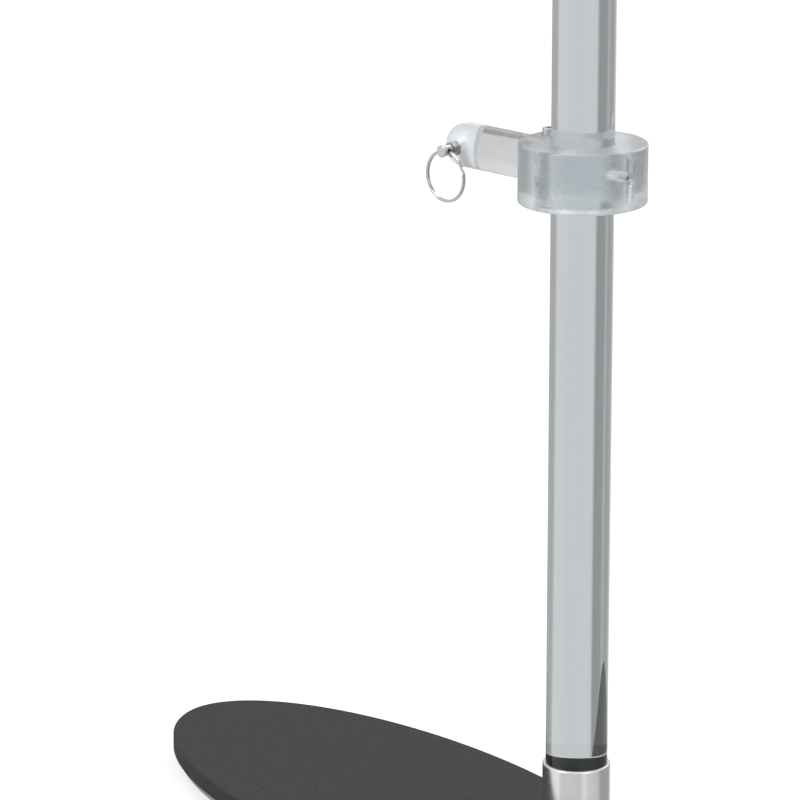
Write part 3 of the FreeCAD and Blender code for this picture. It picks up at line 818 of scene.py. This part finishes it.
def make_socket_screws():
    low, high = (corner.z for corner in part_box("socket_screws"))
    shoulder = low + SCREW_HEAD_RADIUS - SCREW_RADIUS
    profile = [
        (0, low), (SCREW_HEAD_RADIUS, low), (SCREW_RADIUS, shoulder),
        (SCREW_RADIUS, high - THREAD_BEVEL), (SCREW_RADIUS - THREAD_BEVEL, high), (0, high),
    ]
    span = (shoulder, high - THREAD_BEVEL)
    screw = threaded_rod(
        "screw", profile, SCREW_RADIUS, *span, FINE_PITCH, [SCREW_STEEL], (0, 0, 0), UPRIGHT
    )
    # the key socket's faces take the dark painted shade
    key = key_drill(SCREW_KEY, low - MM, shoulder, [KEY_SOCKET_SHADE], (0, 0, 0), UPRIGHT)
    combine(screw, [key])
    values = {"Part": screw, "Count": SCREW_COUNT, "Radius": SCREW_CIRCLE, "Finish": SCREW_STEEL}
    quarter = Matrix.Rotation(WHOLE_TURN / 4, 3, "Z")
    made = grown("socket_screw_set", circle_tree(), values, (post_x, post_y, 0), quarter)
    bpy.data.objects.remove(screw)
    seat(made, "stand", "screw_steel", "socket_screws")


# ---------------------------------------------------------------- post and collar
def clear(made):
    """A clear piece lets the lamps through to what lies behind it."""
    made.visible_shadow = False


def make_post():
    profile = rod(post_radius, post_low.z, post_high.z, POST_EDGE, POST_EDGE)
    profile = soften(profile, POST_EDGE_SOFT)
    made = lathe("post_rod", profile, [POST_CLEAR], (post_x, post_y, 0), steps=ROUND_STEPS)
    clear(seat(made, "stand", "post_acrylic", "post"))


def collar_ring():
    """The collar's turned ring: hazy round its side and in its bore, satin on its top, where a greyer
    tint is painted shade.
    """
    low, high = collar_low.z, collar_high.z
    bore = post_radius + SLIDE_GAP
    edge = COLLAR_EDGE
    loop = [
        (bore + edge, low), (collar_radius - edge, low), (collar_radius, low + edge),
        (collar_radius, high - edge), (collar_radius - edge, high),
        (bore + edge, high), (bore, high - edge), (bore, low + edge),
    ]
    finishes = [COLLAR_SIDE, COLLAR_SATIN_AND_SHADE, COLLAR_BORED]
    spot = (post_x, post_y, 0)
    made = lathe("collar_and_arm", soften_loop(loop, edge * 0.3), finishes, spot, steps=ROUND_STEPS)
    halfway = (bore + collar_radius) / 2

    def finish(centre, normal):
        # the top face takes the satin finish with its painted shade tint
        if normal.z > 0.9:
            return 1
        return 2 if math.hypot(centre.x - post_x, centre.y - post_y) < halfway else 0

    paint(made, finish)
    return made


def arm_rod():
    """The arm's rod with its domed end, milled for the slot and bored across for the plunger."""
    dome = []
    for step in range(DOME_STEPS + 1):
        angle = WHOLE_TURN / 4 * step / DOME_STEPS
        radius = arm_radius - ARM_ROUND + ARM_ROUND * math.cos(angle)
        dome.append((radius, arm_reach - ARM_ROUND + ARM_ROUND * math.sin(angle)))
    profile = [(0, arm_root), (arm_radius, arm_root), *dome, (0, arm_reach)]
    spot = (post_x, post_y, arm_z)
    made = lathe("arm_rod", profile, [ARM_CLEAR, ARM_MILLED], spot, ALONG_ARM, ROUND_STEPS)
    over = arm_radius + MM
    half = SLOT_WIDTH / 2
    slot_end = arm_low.x + SLOT_DEPTH
    slot_low = (arm_low.x - MM, post_y - half, arm_z - over)
    slot_high = (slot_end, post_y + half, arm_z + over)
    pin_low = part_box("plunger_pin")[1].y - post_y
    tools = [
        block("slot", slot_low, slot_high, [ARM_MILLED]),
        drill(BARREL_RADIUS + FIT_GAP, 0, over, [ARM_MILLED], plunger_spot, TO_RING),
        drill(PIN_RADIUS + RUN_GAP, -pin_low - PIN_END_ROOM, 0, [ARM_MILLED], plunger_spot, TO_RING),
        drill(SEAT_RADIUS, SEAT_OUT, over, [ARM_MILLED], plunger_spot, TO_RING),
    ]
    return combine(made, tools)


def make_collar_and_arm():
    """Collar and arm, joined with clear cement, so that light crosses the joint as if they were one."""
    made = combine(collar_ring(), [arm_rod()], "UNION")
    grub_radius = (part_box("clamp_screw")[1].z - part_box("clamp_screw")[0].z) / 2
    lock = middle("arm_lock_screw")
    lock_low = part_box("arm_lock_screw")[0].z - THREAD_BEVEL
    spot = (post_x, post_y, arm_z)
    over = collar_radius + MM
    tools = [
        drill(grub_radius + FIT_GAP, 0, over, [COLLAR_BORED], spot, TO_GRUB),
        drill(LOCK_RADIUS + FIT_GAP, lock_low, collar_high.z + MM, [COLLAR_BORED], (lock.x, lock.y, 0)),
    ]
    combine(made, tools)
    clear(seat(made, "carriage", "collar_acrylic", "collar", "arm"))


def make_clamp_screw():
    low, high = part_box("clamp_screw")
    inner, outer = low.x - post_x, high.x - post_x
    radius = (high.z - low.z) / 2
    profile = rod(radius, inner, outer, THREAD_BEVEL, THREAD_BEVEL)
    spot = (post_x, post_y, arm_z)
    made = threaded_rod(
        "clamp_grub_screw", profile, radius, inner + THREAD_BEVEL, outer - THREAD_BEVEL, COARSE_PITCH,
        [SCREW_STEEL, KEY_SOCKET_SHADE], spot, TO_GRUB,
    )
    stem = TIP_STEM_RADIUS + FIT_GAP
    tools = [
        # the key socket's faces take the dark painted shade
        key_drill(GRUB_KEY, outer - GRUB_KEY_DEPTH, outer + MM, [KEY_SOCKET_SHADE], spot, TO_GRUB),
        drill(stem, inner - MM, inner + TIP_STEM_LENGTH + FIT_GAP, [SCREW_STEEL], spot, TO_GRUB),
    ]
    combine(made, tools)
    seat(made, "clamp", "screw_steel", "clamp_screw")


def make_clamp_tip():
    low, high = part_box("clamp_tip")
    inner, outer = low.x - post_x, high.x - post_x
    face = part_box("clamp_screw")[0].x - post_x
    radius = (high.z - low.z) / 2
    profile = soften([
        (0, inner), (radius, inner), (radius, face),
        (TIP_STEM_RADIUS, face), (TIP_STEM_RADIUS, outer), (0, outer),
    ], 0.25 * MM)
    made = lathe("clamp_nylon_tip", profile, [TIP_PLASTIC], (post_x, post_y, arm_z), TO_GRUB)
    seat(made, "clamp", "tip_plastic", "clamp_tip")


# ---------------------------------------------------------------- lock screw
def make_lock_screw():
    low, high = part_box("arm_lock_screw")
    centre = middle("arm_lock_screw")
    seat_z = collar_high.z
    profile = [
        (0, low.z), (LOCK_RADIUS - THREAD_BEVEL, low.z), (LOCK_RADIUS, low.z + THREAD_BEVEL),
        (LOCK_RADIUS, seat_z), (LOCK_HEAD_RADIUS, seat_z),
        (LOCK_HEAD_RADIUS, high.z - THREAD_BEVEL),
        (LOCK_HEAD_RADIUS - THREAD_BEVEL, high.z), (0, high.z),
    ]
    spot = (centre.x, centre.y, 0)
    made = threaded_rod(
        "arm_lock_cap_screw", profile, LOCK_RADIUS, low.z + THREAD_BEVEL, seat_z, FINE_PITCH,
        [SCREW_STEEL, KEY_SOCKET_SHADE], spot, UPRIGHT,
    )
    # the key socket's faces take the dark painted shade
    key = key_drill(LOCK_KEY, high.z - LOCK_KEY_DEPTH, high.z + MM, [KEY_SOCKET_SHADE], spot, UPRIGHT)
    combine(made, [key])
    break_edges(made, LOCK_EDGE)
    seat(made, "carriage", "screw_steel", "arm_lock_screw")


# ---------------------------------------------------------------- spring plunger
def outward(node):
    """A plunger piece's two ends, measured out from the post's plane towards the pull ring."""
    low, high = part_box(node)
    return post_y - high.y, post_y - low.y


def make_plunger_body():
    inner, outer = outward("plunger_body")
    across = HEX_WIDTH / 2
    corner = across / math.cos(WHOLE_TURN / HEX_SIDES / 2)
    over = corner + MM
    slope = [
        (0, SEAT_OUT - MM), (over, SEAT_OUT - MM), (over, outer - (over - across) * HEX_BEVEL),
        (across, outer), (0, outer),
    ]
    upright = TO_RING @ Matrix.Rotation(WHOLE_TURN / 4, 3, "Z")
    made = drill(corner, SEAT_OUT, outer + MM, [HEX_STEEL], plunger_spot, upright, HEX_SIDES)
    made.name = "plunger_hexagon_body"
    combine(made, [lathe("slope", slope, [HEX_STEEL], plunger_spot, TO_RING)], "INTERSECT")
    barrel = threaded_rod(
        "barrel", rod(BARREL_RADIUS, inner, SEAT_OUT + MM, RUN_GAP, TINY), BARREL_RADIUS,
        inner + RUN_GAP, SEAT_OUT, COARSE_PITCH, [PLUNGER_STEEL], plunger_spot, TO_RING,
    )
    combine(made, [barrel], "UNION")
    tools = [
        drill(BARREL_BORE, inner - MM, outer - END_WALL, [PLUNGER_STEEL], plunger_spot, TO_RING),
        drill(TAIL_RADIUS + RUN_GAP, 0, outer + MM, [PLUNGER_STEEL], plunger_spot, TO_RING),
    ]
    combine(made, tools)
    seat(made, "carriage", "plunger_steel", "plunger_body")


def make_nose():
    inner, outer = outward("plunger_nose")
    bore = PIN_RADIUS + RUN_GAP
    rim = BARREL_BORE - FIT_GAP
    loop = soften_loop([(bore, inner), (rim, inner), (rim, outer), (bore, outer)], 0.08 * MM)
    made = lathe("plunger_nose_ring", loop, [PLUNGER_STEEL], plunger_spot, TO_RING)
    seat(made, "carriage", "plunger_steel", "plunger_nose")


def make_pin():
    inner, outer = outward("plunger_pin")
    flange = outward("plunger_nose")[1] + RUN_GAP
    profile = soften([
        (0, inner), (PIN_RADIUS - THREAD_BEVEL, inner), (PIN_RADIUS, inner + THREAD_BEVEL),
        (PIN_RADIUS, flange), (FLANGE_RADIUS, flange), (FLANGE_RADIUS, flange + FLANGE_THICK),
        (TAIL_RADIUS, flange + FLANGE_THICK), (TAIL_RADIUS, outer), (0, outer),
    ], 0.1 * MM)
    made = lathe("plunger_lock_pin", profile, [PLUNGER_STEEL], plunger_spot, TO_RING)
    seat(made, "plunger", "plunger_steel", "plunger_pin")


def make_spring():
    inner, outer = outward("plunger_spring")
    wire = SPRING_WIRE / 2
    values = {
        "Turns": SPRING_TURNS, "Radius": SPRING_RADIUS, "Length": outer - inner - SPRING_WIRE,
        "Wire": wire, "Finish": SPRING_STEEL,
    }
    start = plunger_spot + TO_RING @ Vector((0, 0, inner + wire))
    made = grown("plunger_coil_spring", coil_tree(), values, start, TO_RING)
    seat(made, "carriage", "spring_steel", "plunger_spring")
    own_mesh(made)


def make_pull_head():
    inner, outer = outward("pull_head")
    bevel = THREAD_BEVEL
    profile = soften([
        (0, inner), (STEM_RADIUS - bevel, inner), (STEM_RADIUS, inner + bevel),
        (STEM_RADIUS, STEM_OUT), (NECK_RADIUS, STEM_OUT + bevel), (NECK_RADIUS, HEAD_IN),
        (HEAD_RADIUS, HEAD_IN), (HEAD_RADIUS, outer - bevel), (HEAD_RADIUS - bevel, outer), (0, outer),
    ], 0.16 * MM)
    made = lathe("pull_head_stem", profile, [PLUNGER_STEEL], plunger_spot, TO_RING)
    ring_y = middle("split_ring").y
    over = HEAD_RADIUS + MM
    spot = (pin_x, ring_y, arm_z)
    hole = drill(RING_HOLE_RADIUS, -over, over, [PLUNGER_STEEL], spot, SIDEWAYS)
    end = outward("plunger_pin")[1]
    tail = drill(TAIL_RADIUS + FIT_GAP, 0, end, [PLUNGER_STEEL], plunger_spot, TO_RING)
    combine(made, [hole, tail])
    seat(made, "plunger", "plunger_steel", "pull_head")


def make_split_ring():
    """Two coils of rounded wire side by side, with one slanting link between them."""
    low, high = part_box("split_ring")
    radius = (high.z - low.z) / 2 - RING_WALL / 2
    start = RING_JOINT / 2
    end = 2 * WHOLE_TURN - RING_JOINT / 2
    vertices = []
    for step in range(RING_STEPS + 1):
        angle = start + (end - start) * step / RING_STEPS
        share = min(max((angle - (WHOLE_TURN - RING_JOINT / 2)) / RING_JOINT, 0), 1)
        level = RING_STEP * (share * share * (3 - 2 * share) - 0.5)
        for corner in range(RING_SECTION):
            around = WHOLE_TURN * corner / RING_SECTION
            wide, tall = math.cos(around), math.sin(around)
            across = math.copysign(abs(wide) ** RING_ROUNDNESS, wide) * RING_WALL / 2
            rise = math.copysign(abs(tall) ** RING_ROUNDNESS, tall) * RING_COIL / 2
            reach = radius + across
            vertices.append((reach * math.cos(angle), reach * math.sin(angle), level + rise))
    starts = range(0, len(vertices), RING_SECTION)
    rows = [range(first, first + RING_SECTION) for first in starts]
    faces = spun_faces(rows, RING_SECTION, False) + [tuple(rows[0]), tuple(rows[-1])]
    spot = (pin_x, (low.y + high.y) / 2, (low.z + high.z) / 2)
    facing = TO_RING @ Matrix.Rotation(RING_JOINT_PLACE, 3, "Z")
    made = piece("pull_split_ring", vertices, faces, [RING_NICKEL], spot, facing)
    seat(made, "ring", "ring_nickel", "split_ring")


# ---------------------------------------------------------------- studio
STUDIO_GREY = 0.60
# heading in degrees from the post straight away from the camera
BEHIND_POST = 135.4
FLOOR_SPAN = 14.0
# (heading in degrees about the post, brightness) of the cards that stand round the stand
STUDIO_CARDS = (
    (-44, 0.62), (-32, 0.62), (-22, 0.86), (-10, 0.66), (28, 0.60), (40, 0.36), (88, 0.38),
    (95, STUDIO_GREY), (149, STUDIO_GREY), (153, 0.27), (166, 0.29), (172, 0.44), (178, 0.32),
    (196, 0.34), (204, 0.48), (214, 0.90), (252, 0.92), (264, 0.64), (315, 0.62),
)
# (name, place, size, power) of the soft lamps
LAMPS = (
    ("key_lamp", (-0.3, -1.7, 1.5), 0.9, 14),
    ("fill_lamp", (1.9, -0.2, 1.2), 1.1, 8),
    ("back_lamp", (-0.6, 1.6, 1.6), 1.0, 4),
)
CAMERA_AZIMUTH = math.radians(45.37)
CAMERA_ELEVATION = math.radians(15.27)
CAMERA_DISTANCE = 2.1547
CAMERA_LENS = 204.34
AIM_FROM_POST = Vector((-0.0601, -0.0609, 0.2411))


def bent_ray(nodes, links, path):
    """One where the studio is seen in a mirror or through glass, and nought elsewhere."""
    either = nodes.new("ShaderNodeMath")
    either.operation = "MAXIMUM"
    links.new(path.outputs["Is Glossy Ray"], either.inputs[0])
    links.new(path.outputs["Is Transmission Ray"], either.inputs[1])
    return either.outputs["Value"]


def ray_mix(nodes, links, seen_by_camera, seen_in_gloss, otherwise):
    """A studio colour that depends on the kind of ray: camera, mirror or glass, and the rest."""
    path = nodes.new("ShaderNodeLightPath")
    first = nodes.new("ShaderNodeMix")
    second = nodes.new("ShaderNodeMix")
    for mix in (first, second):
        mix.data_type = "RGBA"
    links.new(bent_ray(nodes, links, path), first.inputs["Factor"])
    links.new(path.outputs["Is Camera Ray"], second.inputs["Factor"])
    first.inputs["A"].default_value = otherwise
    links.new(seen_in_gloss, first.inputs["B"])
    links.new(first.outputs["Result"], second.inputs["A"])
    second.inputs["B"].default_value = seen_by_camera
    return second.outputs["Result"]


def grey(value, blue=0.0):
    """A neutral colour, or one slightly towards blue."""
    return (value, value * (1 + blue / 2), value * (1 + blue), 1)


def make_ring_group():
    """Brightness of the studio's cards by their heading about the post."""
    inputs = (("Vector", "NodeSocketVector", None), ("Middle", "NodeSocketVector", (0, 0, 0)))
    made, start, end = group("studio_ring", inputs, (("Color", "NodeSocketColor"),))
    turned = made.nodes.new("ShaderNodeMapping")
    turned.vector_type = "TEXTURE"
    turned.inputs["Rotation"].default_value = (0, 0, math.radians(BEHIND_POST))
    made.links.new(start.outputs["Vector"], turned.inputs["Vector"])
    made.links.new(start.outputs["Middle"], turned.inputs["Location"])
    heading = made.nodes.new("ShaderNodeTexGradient")
    heading.gradient_type = "RADIAL"
    made.links.new(turned.outputs["Vector"], heading.inputs["Vector"])
    cards = made.nodes.new("ShaderNodeValToRGB")
    stops = cards.color_ramp.elements
    for degrees, shade in STUDIO_CARDS:
        stops.new((degrees - BEHIND_POST) / 360 + 0.5).color = grey(shade, 0.02)
    stops.remove(stops[0])
    stops.remove(stops[-1])
    made.links.new(heading.outputs["Fac"], cards.inputs["Fac"])
    made.links.new(cards.outputs["Color"], end.inputs["Color"])
    return made


def make_world(ring):
    """White to the camera; in mirrors and through glass, the ring of cards under a light ceiling."""
    world = bpy.data.worlds.new("studio")
    world.use_nodes = True
    bpy.context.scene.world = world
    nodes = world.node_tree.nodes
    links = world.node_tree.links
    direction = nodes.new("ShaderNodeTexCoord")
    cards = nodes.new("ShaderNodeGroup")
    cards.node_tree = ring
    links.new(direction.outputs["Generated"], cards.inputs["Vector"])
    split = nodes.new("ShaderNodeSeparateXYZ")
    links.new(direction.outputs["Generated"], split.inputs["Vector"])
    ceiling = nodes.new("ShaderNodeMix")
    ceiling.data_type = "RGBA"
    links.new(split.outputs["Z"], ceiling.inputs["Factor"])
    links.new(cards.outputs["Color"], ceiling.inputs["A"])
    ceiling.inputs["B"].default_value = grey(0.95)
    color = ray_mix(nodes, links, grey(1.0), ceiling.outputs["Result"], grey(0.62))
    links.new(color, nodes["Background"].inputs["Color"])


def make_floor(ring):
    """A bright floor that takes soft shadows, and is clear when seen from below."""
    span = FLOOR_SPAN
    corners = [(-span, -span, 0), (span, -span, 0), (span, span, 0), (-span, span, 0)]
    floor = piece("studio_floor", corners, [(0, 1, 2, 3)], [])
    made = bpy.data.materials.new("studio_floor")
    made.use_nodes = True
    nodes = made.node_tree.nodes
    links = made.node_tree.links
    nodes.remove(nodes["Principled BSDF"])
    matte = nodes.new("ShaderNodeBsdfDiffuse")
    matte.inputs["Color"].default_value = grey(0.78)
    glow = nodes.new("ShaderNodeEmission")
    cards = nodes.new("ShaderNodeGroup")
    cards.node_tree = ring
    cards.inputs["Middle"].default_value = (post_x, post_y, 0)
    links.new(nodes.new("ShaderNodeTexCoord").outputs["Object"], cards.inputs["Vector"])
    color = ray_mix(nodes, links, grey(0.5), cards.outputs["Color"], grey(0.0))
    links.new(color, glow.inputs["Color"])
    both = nodes.new("ShaderNodeAddShader")
    links.new(matte.outputs["BSDF"], both.inputs[0])
    links.new(glow.outputs["Emission"], both.inputs[1])
    choose = nodes.new("ShaderNodeMixShader")
    path = nodes.new("ShaderNodeLightPath")
    links.new(bent_ray(nodes, links, path), choose.inputs["Fac"])
    links.new(both.outputs["Shader"], choose.inputs[1])
    links.new(glow.outputs["Emission"], choose.inputs[2])
    one_sided = nodes.new("ShaderNodeMixShader")
    links.new(nodes.new("ShaderNodeNewGeometry").outputs["Backfacing"], one_sided.inputs["Fac"])
    links.new(choose.outputs["Shader"], one_sided.inputs[1])
    links.new(nodes.new("ShaderNodeBsdfTransparent").outputs["BSDF"], one_sided.inputs[2])
    links.new(one_sided.outputs["Shader"], nodes["Material Output"].inputs["Surface"])
    floor.data.materials.append(made)


def make_lamp(name, spot, size, power):
    """A soft square lamp aimed at the middle of the stand, and not seen through clear plastic."""
    lamp = bpy.data.lights.new(name, "AREA")
    lamp.size = size
    lamp.energy = power
    made = bpy.data.objects.new(name, lamp)
    made.location = spot
    made.visible_transmission = False
    target = Vector((post_x / 2, 0, 0.25))
    made.rotation_euler = (target - Vector(spot)).to_track_quat("-Z", "Y").to_euler()
    bpy.context.scene.collection.objects.link(made)


def make_camera():
    lens = bpy.data.cameras.new("camera")
    lens.lens = CAMERA_LENS
    made = bpy.data.objects.new("camera", lens)
    level = math.cos(CAMERA_ELEVATION)
    away = Vector((
        math.sin(CAMERA_AZIMUTH) * level, -math.cos(CAMERA_AZIMUTH) * level, math.sin(CAMERA_ELEVATION),
    ))
    aim = Vector((post_x, post_y, 0)) + AIM_FROM_POST
    made.location = aim + away * CAMERA_DISTANCE
    made.rotation_euler = (-away).to_track_quat("-Z", "Y").to_euler()
    bpy.context.scene.collection.objects.link(made)
    bpy.context.scene.camera = made


make_plate()
make_pad()
make_feet()
make_socket()
make_socket_screws()
make_post()
make_collar_and_arm()
make_clamp_screw()
make_clamp_tip()
make_lock_screw()
make_plunger_body()
make_nose()
make_pin()
make_spring()
make_pull_head()
make_split_ring()
STUDIO_RING = make_ring_group()
make_world(STUDIO_RING)
make_floor(STUDIO_RING)
for lamp in LAMPS:
    make_lamp(*lamp)
make_camera()
bpy.context.scene.view_settings.view_transform = "Standard"
